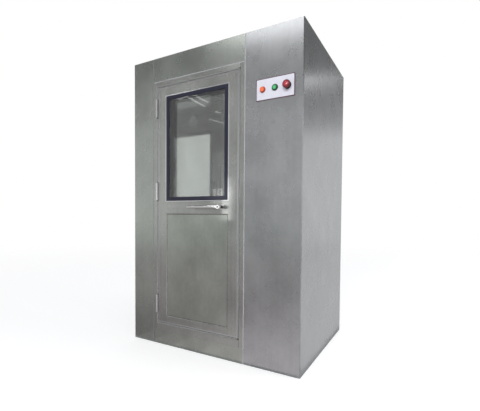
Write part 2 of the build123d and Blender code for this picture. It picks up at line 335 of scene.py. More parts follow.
# The floor takes the shadow. For the camera alone it is a little paler, and far off it is white.
floor_material, tree, output = new_material("pale_floor")
floor_surface = node(
    tree, "ShaderNodeBsdfPrincipled", {"Base Color": (0.66, 0.66, 0.66, 1), "Roughness": 0.7}
)
path = node(tree, "ShaderNodeLightPath")
lift_strength = node(tree, "ShaderNodeMath", {1: 0.5}, operation="MULTIPLY")
lift = node(tree, "ShaderNodeEmission")
lifted = node(tree, "ShaderNodeAddShader")
distance = node(tree, "ShaderNodeVectorMath", operation="LENGTH")
fade = node(tree, "ShaderNodeMapRange", {"From Min": 2.5, "From Max": 9.0})
seen_fade = node(tree, "ShaderNodeMath", operation="MULTIPLY")
white_far = node(tree, "ShaderNodeEmission")
faded = node(tree, "ShaderNodeMixShader")
linked(
    tree,
    (path.outputs["Is Camera Ray"], lift_strength.inputs[0]),
    (lift_strength.outputs[0], lift.inputs["Strength"]),
    (floor_surface.outputs[0], lifted.inputs[0]),
    (lift.outputs[0], lifted.inputs[1]),
    (object_coordinates(tree), distance.inputs[0]),
    (distance.outputs["Value"], fade.inputs["Value"]),
    (fade.outputs[0], seen_fade.inputs[0]),
    (path.outputs["Is Camera Ray"], seen_fade.inputs[1]),
    (seen_fade.outputs[0], faded.inputs["Fac"]),
    (lifted.outputs[0], faded.inputs[1]),
    (white_far.outputs[0], faded.inputs[2]),
    (faded.outputs[0], output.inputs["Surface"]),
)
floor_reach = 30.0
floor_corners = [(x * floor_reach, y * floor_reach, 0) for x, y in ((-1, -1), (1, -1), (1, 1), (-1, 1))]
flat_card("floor", floor_corners, floor_material)


def soft_lamp(name, place, aim, size, power):
    """A square soft lamp that points at a place, and doesn't show in glass or polish."""
    light = bpy.data.lights.new(name, "AREA")
    light.shape = "RECTANGLE"
    light.size = light.size_y = size
    light.energy = power
    lamp = bpy.data.objects.new(name, light)
    lamp.location = place
    lamp.rotation_euler = (Vector(aim) - Vector(place)).to_track_quat("-Z", "Y").to_euler()
    for kind in ("camera", "glossy", "transmission"):
        setattr(lamp, f"visible_{kind}", False)
    scene.collection.objects.link(lamp)
    return lamp


soft_lamp("front_lamp", (1.6, -4.6, 3.4), (0, 0, 1.0), 2.2, 110)
soft_lamp("side_lamp", (4.2, 0.8, 2.4), (0, 0, 1.0), 2.0, 50)


# The outer panels: hairline stainless sheet, brushed along its length, with the faint clouding
# and long drawn streaks of rolled sheet. Each sheet is folded back at its edges.
def mixed_noise(tree, coordinates, scale, detail, roughness):
    """Noise with its own scale along each axis."""
    mapping = node(tree, "ShaderNodeMapping", {"Scale": scale})
    noise = node(tree, "ShaderNodeTexNoise", {"Scale": 1.0, "Detail": detail, "Roughness": roughness})
    linked(tree, (coordinates, mapping.inputs["Vector"]), (mapping.outputs[0], noise.inputs["Vector"]))
    return noise.outputs["Fac"]


def ramped(tree, source, low, high, from_low=0.3, from_high=0.7):
    """A value spread from one range, such as most of a noise's, to another."""
    spread = {"From Min": from_low, "From Max": from_high, "To Min": low, "To Max": high}
    span = node(tree, "ShaderNodeMapRange", spread)
    linked(tree, (source, span.inputs["Value"]))
    return span.outputs[0]


def bumped(tree, surface, height, strength, distance):
    """Lets a surface rise and fall with a value."""
    bump = node(tree, "ShaderNodeBump", {"Strength": strength, "Distance": distance})
    linked(tree, (height, bump.inputs["Height"]), (bump.outputs[0], surface.inputs["Normal"]))


def hairline_steel(
    name, colour, roughness, cloud=0.12, streak=0.022, waviness=0.0026, lengthwise="Z", rails=None
):
    """Brushed stainless sheet. The colour is its middle tone, and the grain runs along one axis.
    Between the two places in x that rails gives, the grain runs along x instead."""
    material, tree, output = new_material(name)
    quarter_turn = 0.25
    surface = node(tree, "ShaderNodeBsdfPrincipled", {
        "Metallic": 1.0, "Anisotropic": 0.65,
        "Anisotropic Rotation": quarter_turn if lengthwise == "X" else 0.0,
    })
    coordinates = object_coordinates(tree)
    ways = (lengthwise,)
    if rails:
        ways = (lengthwise, "X")
        split = node(tree, "ShaderNodeSeparateXYZ")
        offset = node(tree, "ShaderNodeMath", {1: (rails[0] + rails[1]) / 2}, operation="SUBTRACT")
        distance = node(tree, "ShaderNodeMath", operation="ABSOLUTE")
        on_rail = node(tree, "ShaderNodeMath", {1: (rails[1] - rails[0]) / 2}, operation="LESS_THAN")
        turned = node(tree, "ShaderNodeMath", {1: quarter_turn}, operation="MULTIPLY")
        linked(
            tree,
            (coordinates, split.inputs[0]),
            (split.outputs["X"], offset.inputs[0]),
            (offset.outputs[0], distance.inputs[0]),
            (distance.outputs[0], on_rail.inputs[0]),
            (on_rail.outputs[0], turned.inputs[0]),
            (turned.outputs[0], surface.inputs["Anisotropic Rotation"]),
        )

    def lines(across, down, detail, roughness):
        """Noise drawn out along the grain."""
        scales = [[down if axis == way else across for axis in "XYZ"] for way in ways]
        stretched = [mixed_noise(tree, coordinates, scale, detail, roughness) for scale in scales]
        if not rails:
            return stretched[0]
        turn = node(tree, "ShaderNodeMix")
        linked(
            tree,
            (on_rail.outputs[0], turn.inputs["Factor"]),
            (stretched[0], turn.inputs["A"]),
            (stretched[1], turn.inputs["B"]),
        )
        return turn.outputs["Result"]

    hair = lines(700.0, 6.0, 2.0, 0.5)
    drawn = lines(55.0, 0.7, 3.0, 0.6)
    clouds = mixed_noise(tree, coordinates, (4.2, 4.2, 3.4), 4.0, 0.55)
    mottle = mixed_noise(tree, coordinates, (38.0, 38.0, 30.0), 3.0, 0.6)
    tone = ramped(tree, clouds, 1 - cloud, 1 + cloud)
    for source, swing in ((drawn, streak), (hair, 0.5 * streak), (mottle, 0.28 * cloud)):
        times = node(tree, "ShaderNodeMath", operation="MULTIPLY")
        linked(tree, (tone, times.inputs[0]), (ramped(tree, source, 1 - swing, 1 + swing), times.inputs[1]))
        tone = times.outputs[0]
    shade = node(tree, "ShaderNodeVectorMath", {0: colour}, operation="SCALE")
    linked(
        tree,
        (tone, shade.inputs["Scale"]),
        (shade.outputs[0], surface.inputs["Base Color"]),
        (ramped(tree, clouds, roughness - 0.03, roughness + 0.04), surface.inputs["Roughness"]),
        (surface.outputs[0], output.inputs["Surface"]),
    )
    bumped(tree, surface, mixed_noise(tree, coordinates, (2.3, 2.3, 1.7), 1.0, 0.5), 1.0, waviness)
    return material


def dress(material, *names):
    """Gives these nodes of the construction one material."""
    for name in names:
        built = frame["nodes"][name]
        built.data.materials.clear()
        built.data.materials.append(material)


sheet = hairline_steel("hairline_sheet", (0.394, 0.416, 0.394), 0.27)
dress(
    sheet, "left_front_panel", "left_rear_panel", "left_side_panel", "front_header", "rear_header",
    "front_sill", "rear_sill", "roof_panel",
)
blower_box_sheet = hairline_steel("blower_box_sheet", (0.402, 0.412, 0.424), 0.27)
dress(blower_box_sheet, "right_front_panel", "right_rear_panel", "right_side_panel")


# The base pan: folded stainless under the whole cabinet. The sills and panels stand round it, so
# only its underside can be seen.
base_sheet = hairline_steel("base_sheet", (0.33, 0.335, 0.33), 0.38)
dress(base_sheet, "base_pan")


# The chamber: half-bright stainless liners and ceiling, and a floor plate worn dull by shoes. They
# are seen through the windows and past an open door.
liner_sheet = hairline_steel(
    "liner_sheet", (0.43, 0.445, 0.43), 0.085, cloud=0.06, streak=0.05, waviness=0.0006
)
dress(liner_sheet, "left_inner_wall", "right_inner_wall", "ceiling_panel")
floor_sheet = hairline_steel("floor_sheet", (0.36, 0.36, 0.35), 0.34, cloud=0.14, lengthwise="Y")
dress(floor_sheet, "floor_plate")


# The door frames and leaves: hairline stainless sections, ground flush at their welded corners.
# The grain turns at each corner, because the sections run up the sides and across the ends.
frame_colour = (0.405, 0.415, 0.40)
frame_sheet = hairline_steel("door_frame_sheet", frame_colour, 0.25)
gasket_low, gasket_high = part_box("front_window_gaskets")
leaf_sheet = hairline_steel(
    "door_leaf_sheet", frame_colour, 0.25, streak=0.06, rails=(gasket_low.x, gasket_high.x)
)
head_sheet = hairline_steel("door_head_sheet", frame_colour, 0.25, lengthwise="X")
infill_sheet = hairline_steel("lower_panel_sheet", (0.395, 0.420, 0.388), 0.30, cloud=0.15, waviness=0.0016)
end_signs = {"front": 1, "rear": -1}
for end in end_signs:
    dress(frame_sheet, f"{end}_door_jambs")
    dress(head_sheet, f"{end}_door_head_and_threshold")
    dress(leaf_sheet, f"{end}_door_leaf")
    dress(infill_sheet, f"{end}_lower_panel")


# The joints round the door frame: a bead of sealant, struck off nearly level with the sheet. The pale bead
# along the blower box and over the head is a painted highlight for the light that the rounded edges catch
# there; the one at the left-hand panel is grey.
def tinted(tree, factor, dark, light):
    """A colour between two, as a value goes from 0 to 1."""
    mix = node(tree, "ShaderNodeMix", {"A": (*dark, 1), "B": (*light, 1)}, data_type="RGBA")
    linked(tree, (factor, mix.inputs["Factor"]))
    return mix.outputs["Result"]


def fine_grained(name, noise, dark, light, roughness, bump=None, values=None):
    """A material whose colour, roughness and skin follow one fine noise, given as (scale, detail,
    roughness). Its own roughness is a range, and a bump is (strength, distance)."""
    material, tree, output = new_material(name)
    surface = node(tree, "ShaderNodeBsdfPrincipled", values)
    scale, detail, noise_roughness = noise
    skin = mixed_noise(tree, object_coordinates(tree), (scale, scale, scale), detail, noise_roughness)
    linked(
        tree,
        (tinted(tree, skin, dark, light), surface.inputs["Base Color"]),
        (ramped(tree, skin, *roughness), surface.inputs["Roughness"]),
        (surface.outputs[0], output.inputs["Surface"]),
    )
    if bump:
        bumped(tree, surface, skin, *bump)
    return material


def smooth_rubber(name, colour, roughness, speckle=0.12):
    """Rubber or sealant with a faint uneven skin."""
    dark = [part * (1 - speckle) for part in colour]
    light = [part * (1 + speckle) for part in colour]
    return fine_grained(
        name, (160.0, 4.0, 0.6), dark, light, (roughness - 0.06, roughness + 0.06), (0.25, 0.0002)
    )


def lofted(groups, open_profile=False, closed_path=False):
    """The mesh through groups of loops that have as many points each. A path that stays open is
    capped at both ends."""
    points, faces = [], []
    for loops in groups:
        base, count = len(points), len(loops[0])
        points += [point for loop in loops for point in loop]
        for step in range(len(loops) - (0 if closed_path else 1)):
            here = base + step * count
            there = base + (step + 1) % len(loops) * count
            for i in range(count - (1 if open_profile else 0)):
                j = (i + 1) % count
                faces.append((here + i, here + j, there + j, there + i))
        if not closed_path:
            last = base + (len(loops) - 1) * count
            faces.append(tuple(base + i for i in range(count)))
            faces.append(tuple(last + i for i in reversed(range(count))))
    mesh = bpy.data.meshes.new("part")
    mesh.from_pydata(points, [], faces)
    return mesh


def finished(name, meshes, material, body):
    """Makes one piece of some meshes, with its faces outwards, and lets it ride on a body."""
    work = bmesh.new()
    for part in meshes:
        work.from_mesh(part)
        bpy.data.meshes.remove(part)
    bmesh.ops.remove_doubles(work, verts=work.verts, dist=1e-6)
    bmesh.ops.recalc_face_normals(work, faces=work.faces)
    mesh = bpy.data.meshes.new(name)
    work.to_mesh(mesh)
    work.free()
    mesh.materials.append(material)
    piece = bpy.data.objects.new(name, mesh)
    scene.collection.objects.link(piece)
    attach(piece, body)
    return piece


def bar_mesh(runs, profile):
    """Straight bars of one closed profile. Each run is (start, end, side, out), two points and the
    directions that the profile's first and second numbers go in."""
    return lofted([
        [[Vector(place) + Vector(side) * a + Vector(out) * b for a, b in profile] for place in (start, stop)]
        for start, stop, side, out in runs
    ])


def arch(half_width, rise, sink, steps=6):
    """The profile of a low bead: a flat base and a curved top."""
    curve = [(-half_width * math.cos(a), rise * math.sin(a)) for a in turns(math.pi, steps)]
    return [(half_width, -sink), (-half_width, -sink)] + curve


jamb_low, jamb_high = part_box("front_door_jambs")
panel_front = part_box("front_header")[0].y
head_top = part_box("front_door_head_and_threshold")[1].z
# The pale colour is a painted highlight, for the light that the rounded edges catch.
pale_sealant = smooth_rubber("pale_sealant", (0.50, 0.50, 0.53), 0.42)
grey_sealant = smooth_rubber("grey_sealant", (0.21, 0.22, 0.22), 0.5)
bead_section = arch(half_width=0.0030, rise=0.0032, sink=0.001)
joint_margin = 0.002
joint_top = built_high.z - joint_margin
for end, sign in end_signs.items():
    level = sign * panel_front
    side, up, forwards = (1, 0, 0), (0, 0, 1), (0, -sign, 0)
    pale_runs = [
        ((jamb_high.x, level, joint_margin), (jamb_high.x, level, joint_top), side, forwards),
        ((jamb_low.x, level, head_top), (jamb_high.x, level, head_top), up, forwards),
    ]
    grey_runs = [((jamb_low.x, level, joint_margin), (jamb_low.x, level, joint_top), side, forwards)]
    for shade, runs, material in (("pale", pale_runs, pale_sealant), ("grey", grey_runs, grey_sealant)):
        beads = bar_mesh(runs, bead_section)
        finished(f"{end}_{shade}_joints", [beads], material, "cabinet")


# The lips that close the gap round each door: pale grey silicone. Those at the head, the sill and
# the hinge side are pushed onto the frame, and the one at the closing side onto the leaf's edge.
lip_grey = smooth_rubber("lip_grey", (0.27, 0.28, 0.27), 0.5)
leaf_low, leaf_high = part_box("front_door_leaf")
knuckle_low, knuckle_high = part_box("front_hinges_on_frame")
door_gap = 0.008
lip_thickness = door_gap - 0.0016
lip_depth = 0.014
lip_crown = 0.0012
lip_back = leaf_low.y + 0.0008 + lip_depth
lip_end_gap = 0.0002
hinge_length = 0.126
hinge_clearance = 0.006
middle_hinge_drop = 0.756
hinge_middles = (
    knuckle_high.z - hinge_length / 2, leaf_high.z - middle_hinge_drop, knuckle_low.z + hinge_length / 2,
)
lip_section = [
    (0.0, 0.0), (lip_thickness, 0.0), (lip_thickness, lip_depth - lip_crown),
    (lip_thickness - lip_crown, lip_depth), (0.0, lip_depth),
]
for end, sign in end_signs.items():
    back = sign * lip_back
    towards = (0, -sign, 0)
    stops = [leaf_low.z - door_gap + lip_end_gap]
    for middle in sorted(hinge_middles):
        stops += [middle + way * (hinge_length / 2 + hinge_clearance) for way in (-1, 1)]
    stops.append(leaf_high.z + door_gap - lip_end_gap)
    hinge_seat = leaf_low.x - door_gap
    frame_runs = [
        ((hinge_seat, back, low), (hinge_seat, back, high), (1, 0, 0), towards)
        for low, high in zip(stops[::2], stops[1::2])
    ]
    for z, way in ((leaf_high.z + door_gap, -1), (leaf_low.z - door_gap, 1)):
        frame_runs.append(((leaf_low.x, back, z), (leaf_high.x, back, z), (0, 0, way), towards))
    finished(f"{end}_frame_lips", [bar_mesh(frame_runs, lip_section)], lip_grey, "cabinet")
    leaf_run = ((leaf_high.x, back, leaf_low.z), (leaf_high.x, back, leaf_high.z), (1, 0, 0), towards)
    finished(
        f"{end}_leaf_lip", [bar_mesh([leaf_run], lip_section)], lip_grey, f"{end}_door"
    )


# The windows: two panes of clear glass in each leaf, held in navy-black rubber of a rounded section.
# A narrow polished steel bead covers the cut edge of the leaf all round the rubber.
def leaf_rings(end, kind, low, high, profile, material):
    """Rings of one closed profile round a rectangle of the front leaf, on both faces of a leaf. The
    profile's points are (distance in from the rectangle, y on the front face). Corners are mitred."""
    corners = (
        (low.x, 1, low.z, 1), (high.x, -1, low.z, 1), (high.x, -1, high.z, -1), (low.x, 1, high.z, -1),
    )
    faces = [profile, [(inset, leaf_low.y + leaf_high.y - y) for inset, y in reversed(profile)]]
    if end == "rear":
        faces = [[(inset, -y) for inset, y in reversed(face)] for face in faces]
    rings = lofted([
        [[(x + right * inset, y, z + up * inset) for inset, y in face] for x, right, z, up in corners]
        for face in faces
    ], closed_path=True)
    return finished(f"{end}_{kind}", [rings], material, f"{end}_door")


glass, tree, output = new_material("clear_glass")
pane_surface = node(tree, "ShaderNodeBsdfPrincipled", {
    "Base Color": (0.975, 0.988, 0.980, 1), "Transmission Weight": 1.0, "IOR": 1.45, "Coat Weight": 0.12,
})
smears = mixed_noise(tree, object_coordinates(tree), (7, 7, 5), 4.0, 0.6)
linked(
    tree,
    (ramped(tree, smears, 0.0, 0.02, 0.5, 0.8), pane_surface.inputs["Roughness"]),
    (pane_surface.outputs[0], output.inputs["Surface"]),
)
gasket_rubber = smooth_rubber("gasket_rubber", (0.010, 0.012, 0.030), 0.45, speckle=0.2)
bright_bead = hairline_steel("bright_bead", (0.62, 0.63, 0.64), 0.16, cloud=0.04, streak=0.04, waviness=0.0)
seal_rubber = smooth_rubber("door_seal_rubber", (0.11, 0.11, 0.11), 0.55)

leaf_face = leaf_low.y
gasket_width = 0.027
gasket_depth = 0.010
gasket_corner = 0.0022
rubber_front = gasket_low.y
rubber_back = rubber_front + gasket_depth
pane_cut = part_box("front_window_panes")[0].x - gasket_low.x
groove_front = leaf_face + 0.001
groove_back = leaf_face + 0.006
outer_corner = [
    (gasket_corner - gasket_corner * math.cos(a), rubber_front + gasket_corner - gasket_corner * math.sin(a))
    for a in turns(math.pi / 2, 4)
]
gasket_section = outer_corner + [(gasket_width - x, y) for x, y in reversed(outer_corner)]
gasket_section += [
    (gasket_width, groove_front), (pane_cut, groove_front), (pane_cut, groove_back),
    (gasket_width, groove_back), (gasket_width, rubber_back), (0.0, rubber_back),
]
bead_width = 0.008
bead_face = leaf_face - 0.0011
bead_profile = [
    (0.0, leaf_face + 0.001), (-bead_width, leaf_face + 0.001), (-bead_width, leaf_face - 0.0002),
    (-bead_width + 0.002, bead_face), (-0.001, bead_face), (0.0, bead_face + 0.0005),
]
for end in end_signs:
    dress(glass, f"{end}_window_panes")
    dress(seal_rubber, f"{end}_door_seal")
    rings = leaf_rings(
        end, "gasket_rings", gasket_low, gasket_high, gasket_section, gasket_rubber
    )
    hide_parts(f"{end}_window_gaskets")
    leaf_rings(end, "window_beads", gasket_low, gasket_high, bead_profile, bright_bead)


# The lower panels: plain stainless sheet, set back in its opening behind a slim quarter-round bead
# on all four sides. The bead is of the leaf's own steel.
infill_low, infill_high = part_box("front_lower_panel")
quarter_radius = 0.0055
quarter_round = [(0.0, infill_low.y)] + [
    (quarter_radius * math.sin(a), infill_low.y - quarter_radius * math.cos(a))
    for a in turns(math.pi / 2, 5)
]
for end in end_signs:
    leaf_rings(end, "panel_beads", infill_low, infill_high, quarter_round, leaf_sheet)


# The leaf's folded edge: a narrow strip all round each face, of the same stainless sheet, drawn in a lighter
# steel as a painted highlight for the light that the fold catches.
strip_inset = 0.0032
strip_end = strip_inset + 0.007
strip_face = leaf_face - 0.0006
strip_chamfer = 0.001
edge_strip = [
    (strip_inset, leaf_face + 0.001), (strip_inset, leaf_face - 0.0001),
    (strip_inset + strip_chamfer, strip_face), (strip_end - strip_chamfer, strip_face),
    (strip_end, leaf_face - 0.0001), (strip_end, leaf_face + 0.001),
]
# The lighter steel of the strip is a painted highlight.
ground_edge = hairline_steel("ground_edge", (0.48, 0.48, 0.50), 0.30, cloud=0.05, waviness=0.0)
for end in end_signs:
    leaf_rings(end, "leaf_edges", leaf_low, leaf_high, edge_strip, ground_edge)


# The hinges: three satin stainless butt hinges a door, with turned caps on the pins and
# countersunk cross-head screws through their plates.
def turned_mesh(profile, centre, axis, steps=32):
    """A round piece turned about an axis. The profile's points are (radius, distance along it)."""
    axis = Vector(axis)
    across = axis.orthogonal().normalized()
    up = axis.cross(across)
    outwards = [across * math.cos(a) + up * math.sin(a) for a in turns(math.tau, steps)[:-1]]
    loops = [
        [Vector(centre) + axis * along + outward * radius for radius, along in profile]
        for outward in outwards
    ]
    return lofted([loops], open_profile=True, closed_path=True)


hinge_metal = hairline_steel("hinge_metal", (0.70, 0.70, 0.70), 0.34, cloud=0.05, waviness=0.0)
knuckle_radius = 0.007
hinge_axis_x = knuckle_high.x - knuckle_radius
hinge_axis_y = knuckle_low.y + knuckle_radius
cap_profile = [(0.0, 0.0), (0.0058, 0.0), (0.0058, 0.0012), (0.0046, 0.0034), (0.0024, 0.0046), (0.0, 0.0048)]
for end, sign in end_signs.items():
    dress(hinge_metal, f"{end}_hinges_on_frame", f"{end}_hinges_on_door")
    caps = []
    for middle in hinge_middles:
        for way in (-1, 1):
            place = (hinge_axis_x, sign * hinge_axis_y, middle + way * hinge_length / 2)
            caps.append(turned_mesh(cap_profile, place, (0, 0, way), steps=20))
    finished(f"{end}_hinge_caps", caps, hinge_metal, "cabinet")


# The handles: a long chromed lever on each face of the leaf, on an oblong plate, with a turned
# boss and a dark socket screw at the hub. One spindle through the leaf joins the two levers.
def bright_chrome(name, colour, roughness):
    """Plated metal with faint wear in its polish."""
    worn = [part * 0.93 for part in colour]
    return fine_grained(
        name, (90.0, 4.0, 0.6), worn, colour, (roughness, roughness + 0.08), values={"Metallic": 1.0}
    )


handle_chrome = bright_chrome("handle_chrome", (0.66, 0.66, 0.66), 0.18)
# The necks are near-black chrome: painted shade, for their shadow and the dark reflections round the hub.
neck_dark = bright_chrome("neck_dark", (0.10, 0.10, 0.10), 0.35)
plate_metal = hairline_steel("handle_plate_metal", (0.62, 0.62, 0.62), 0.26, cloud=0.05, waviness=0.0)
socket_black = smooth_rubber("socket_black", (0.03, 0.03, 0.03), 0.5)
lever_low, lever_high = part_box("front_lever")
plate_low, plate_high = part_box("front_handle_plates")
hub_x = (plate_low.x + plate_high.x) / 2
hub_z = (plate_low.z + plate_high.z) / 2
bar_half_thickness = 0.0065
bar_half_height = (lever_high.z - lever_low.z) / 2
tip_half_height = 0.0085
bar_squareness = 0.75
taper_rate = 1.15
dome_length = 0.006
dome_angles = (0.12, 0.4, 0.8, 1.2, math.pi / 2)
bar_sides = 28


def grip_mesh(centre_y):
    """The bar of a lever: an oval section that tapers from the hub to a domed tip."""
    length = lever_high.x - lever_low.x
    places = [dome_length * (1 - math.cos(a)) for a in dome_angles]
    places = places + [length * i / 10 for i in range(1, 10)] + [length - p for p in reversed(places)]
    loops = []
    for place in places:
        end_distance = min(place, length - place)
        swell = 1.0
        if end_distance < dome_length:
            swell = math.sqrt(max(0.0, 1 - (1 - end_distance / dome_length) ** 2))
        grown = min(1, taper_rate * place / length)
        half_height = (tip_half_height + (bar_half_height - tip_half_height) * grown) * swell
        loop = []
        for angle in turns(math.tau, bar_sides)[:-1]:
            c, d = math.cos(angle), math.sin(angle)
            loop.append((
                lever_low.x + place,
                centre_y + math.copysign(abs(c) ** bar_squareness, c) * bar_half_thickness * swell,
                hub_z + math.copysign(abs(d) ** bar_squareness, d) * half_height,
            ))
        loops.append(loop)
    return lofted([loops])


neck_play = 0.0004
outer_centre = lever_low.y + bar_half_thickness
inner_centre = lever_high.y - bar_half_thickness
spindle_radius = 0.005
spindle_length = inner_centre - outer_centre
spindle_profile = [
    (0.0, 0.0), (spindle_radius, 0.0), (spindle_radius, spindle_length), (0.0, spindle_length),
]
boss_profile = [
    (0.0, -0.004), (0.0135, -0.004), (0.0135, 0.0), (0.0125, 0.0008), (0.0072, 0.0008),
    (0.0066, 0.0002), (0.0, 0.0002),
]
socket_profile = [(0.0, 0.00022), (0.0052, 0.00022), (0.0052, 0.0006), (0.0, 0.0006)]
for end, sign in end_signs.items():
    dress(plate_metal, f"{end}_handle_plates")
    grips = [grip_mesh(sign * y) for y in (outer_centre, inner_centre)]
    lever = finished(f"{end}_lever_grips", grips, handle_chrome, f"{end}_lever")
    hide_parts(f"{end}_lever")
    necks, bosses, sockets = [], [], []
    for centre, plate, face, way in (
        (outer_centre, plate_low.y, lever_low.y, 1), (inner_centre, plate_high.y, lever_high.y, -1),
    ):
        reach = abs(plate - centre) - neck_play
        neck_profile = [
            (0.0, 0.0), (0.0100, 0.0), (0.0092, 0.0080), (0.0092, reach - 0.0050),
            (0.0108, reach - 0.0030), (0.0108, reach), (0.0, reach),
        ]
        necks.append(turned_mesh(neck_profile, (hub_x, sign * centre, hub_z), (0, sign * way, 0), 28))
        outer_face, outwards = (hub_x, sign * face, hub_z), (0, -sign * way, 0)
        bosses.append(turned_mesh(boss_profile, outer_face, outwards))
        sockets.append(turned_mesh(socket_profile, outer_face, outwards))
    necks.append(turned_mesh(spindle_profile, (hub_x, sign * outer_centre, hub_z), (0, sign, 0), 20))
    for kind, meshes, material in (
        ("necks", necks, neck_dark), ("bosses", bosses, handle_chrome), ("sockets", sockets, socket_black),
    ):
        finished(f"{end}_lever_{kind}", meshes, material, f"{end}_lever")


# The screws of the hinges and handle plates: cross-head stainless screws, countersunk until only a
# low cone stands proud. A Geometry Nodes tree sets them out in evenly spaced rows.
screw_steel = bright_chrome("screw_steel", (0.60, 0.60, 0.59), 0.24)
screw_radius = 0.0036
screw_height = 0.0009
slot_length = 1.05 * screw_radius
slot_width = 0.26 * screw_radius
slot_height = 0.06 * screw_radius
row_tree = bpy.data.node_groups.new("screw_row", "GeometryNodeTree")
row_inputs = {}
for label, kind in (
    ("Start", "NodeSocketVector"), ("Step", "NodeSocketVector"), ("Turn", "NodeSocketVector"),
    ("Count", "NodeSocketInt"),
):
    row_inputs[label] = row_tree.interface.new_socket(label, in_out="INPUT", socket_type=kind).identifier
row_tree.interface.new_socket("Geometry", in_out="OUTPUT", socket_type="NodeSocketGeometry")
given = node(row_tree, "NodeGroupInput")
result = node(row_tree, "NodeGroupOutput")
line = node(row_tree, "GeometryNodeMeshLine")
cone = node(row_tree, "GeometryNodeMeshCone", {
    "Vertices": 24, "Radius Top": 0.72 * screw_radius, "Radius Bottom": screw_radius, "Depth": screw_height,
})
cross = node(row_tree, "GeometryNodeJoinGeometry")
for size in ((slot_length, slot_width, slot_height), (slot_width, slot_length, slot_height)):
    arm = node(row_tree, "GeometryNodeMeshCube", {"Size": size})
    linked(row_tree, (arm.outputs["Mesh"], cross.inputs[0]))
raised = node(row_tree, "GeometryNodeTransform", {"Translation": (0, 0, screw_height)})
screw = node(row_tree, "GeometryNodeJoinGeometry")
placed = node(row_tree, "GeometryNodeInstanceOnPoints")
turned = node(row_tree, "FunctionNodeEulerToRotation")
real = node(row_tree, "GeometryNodeRealizeInstances")
linked(
    row_tree,
    (given.outputs["Count"], line.inputs["Count"]),
    (given.outputs["Start"], line.inputs["Start Location"]),
    (given.outputs["Step"], line.inputs["Offset"]),
    (cross.outputs[0], raised.inputs["Geometry"]),
    (raised.outputs[0], screw.inputs[0]),
    (cone.outputs["Mesh"], screw.inputs[0]),
    (line.outputs["Mesh"], placed.inputs["Points"]),
    (screw.outputs[0], placed.inputs["Instance"]),
    (given.outputs["Turn"], turned.inputs[0]),
    (turned.outputs[0], placed.inputs["Rotation"]),
    (placed.outputs[0], real.inputs[0]),
    (real.outputs[0], result.inputs[0]),
)


def screw_row(start, step, count, turn):
    """The mesh of a row of screws whose heads point along +Z before they are turned."""
    row = bpy.data.objects.new("row", bpy.data.meshes.new("row"))
    scene.collection.objects.link(row)
    modifier = row.modifiers.new("screw_row", "NODES")
    modifier.node_group = row_tree
    for label, value in (("Start", start), ("Step", step), ("Turn", turn), ("Count", count)):
        modifier[row_inputs[label]] = value
    bpy.context.view_layer.update()
    mesh = bpy.data.meshes.new_from_object(row.evaluated_get(bpy.context.evaluated_depsgraph_get()))
    row.modifiers.remove(modifier)
    bpy.data.objects.remove(row)
    return mesh


hinge_plate_thickness = 0.002
screw_back = leaf_low.y + 0.026
screw_pitch = 0.044
screw_reach = 0.022
quarter_turn = math.pi / 2
for end, sign in end_signs.items():
    frame_rows, leaf_rows, plate_rows = [], [], []
    for middle in hinge_middles:
        for rows, x, way in (
            (frame_rows, leaf_low.x - door_gap + hinge_plate_thickness, 1),
            (leaf_rows, leaf_low.x - hinge_plate_thickness, -1),
        ):
            lowest = (x, sign * screw_back, middle - screw_pitch)
            rows.append(screw_row(lowest, (0, 0, screw_pitch), 3, (0, way * quarter_turn, 0)))
    for level, way in ((plate_low.y, -1), (plate_high.y, 1)):
        first = (hub_x - screw_reach, sign * level, hub_z)
        plate_rows.append(screw_row(first, (2 * screw_reach, 0, 0), 2, (-sign * way * quarter_turn, 0, 0)))
    for name, rows, body, slot in (
        ("frame_hinge_screws", frame_rows, "cabinet", "hinge_steel"),
        ("leaf_hinge_screws", leaf_rows, f"{end}_door", "hinge_steel"),
        ("handle_screws", plate_rows, f"{end}_door", "handle_chrome"),
    ):
        finished(f"{end}_{name}", rows, screw_steel, body)


# The control plate: white laminate on a dark red core, engraved down to the core all round its
# edge. It lies flat on the blower box, held by the controls that go through it.
laminate, tree, output = new_material("plate_laminate")
surface = node(tree, "ShaderNodeBsdfPrincipled", {"Roughness": 0.32})
coordinates = object_coordinates(tree)
plate_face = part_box("control_plate")[0].y
laminate_thickness = 0.0003
split = node(tree, "ShaderNodeSeparateXYZ")
core = node(tree, "ShaderNodeMath", {1: plate_face + laminate_thickness}, operation="GREATER_THAN")
face_tone = mixed_noise(tree, coordinates, (24.0, 24.0, 24.0), 3.0, 0.6)
layers = node(tree, "ShaderNodeMix", {"B": (0.085, 0.018, 0.034, 1)}, data_type="RGBA")
linked(
    tree,
    (coordinates, split.inputs[0]),
    (split.outputs["Y"], core.inputs[0]),
    (tinted(tree, face_tone, (0.70, 0.69, 0.78), (0.80, 0.80, 0.88)), layers.inputs["A"]),
    (core.outputs[0], layers.inputs["Factor"]),
    (layers.outputs["Result"], surface.inputs["Base Color"]),
    (surface.outputs[0], output.inputs["Surface"]),
)
dress(laminate, "control_plate")


